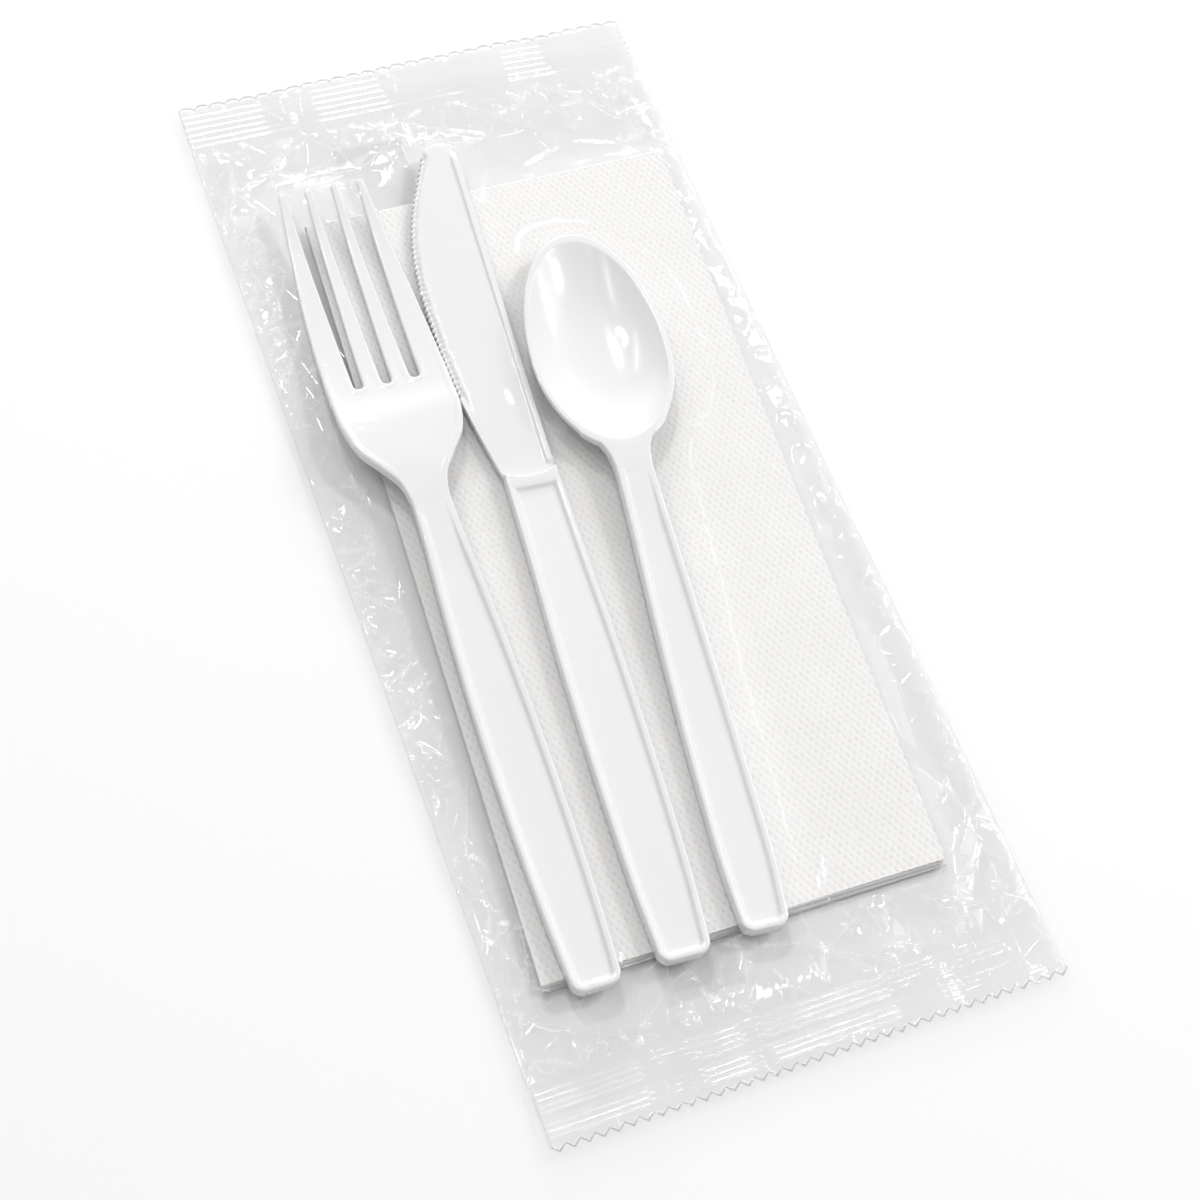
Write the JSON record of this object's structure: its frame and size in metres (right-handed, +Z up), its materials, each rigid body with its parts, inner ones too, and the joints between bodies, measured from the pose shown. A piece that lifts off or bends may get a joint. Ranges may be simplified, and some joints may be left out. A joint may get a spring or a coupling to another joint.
{
  "type": "plastic cutlery pack",
  "caption": "Clear flow-wrapped pack with a white plastic fork, knife and spoon lying side by side on a folded embossed paper napkin; ribbed end seals with scalloped and zigzag cut edges",
  "frame": {"origin": "centre of the footprint, on the surface that the pack lies on", "axes": "+Z up out of the surface, +Y along the pack towards the scalloped end seal and the fork's tines, +X across the pack towards the spoon"},
  "size_m": [0.1, 0.2332, 0.0103],
  "materials": {
    "clear_film": "clear glossy polypropylene film",
    "tissue": "matt embossed tissue",
    "white_plastic": "smooth semi-gloss moulded polystyrene"
  },
  "bodies": {
    "root": {"film_wrapper": "clear_film", "napkin": "tissue", "fork": "white_plastic", "knife": "white_plastic", "spoon": "white_plastic"}
  },
  "joints": []
}
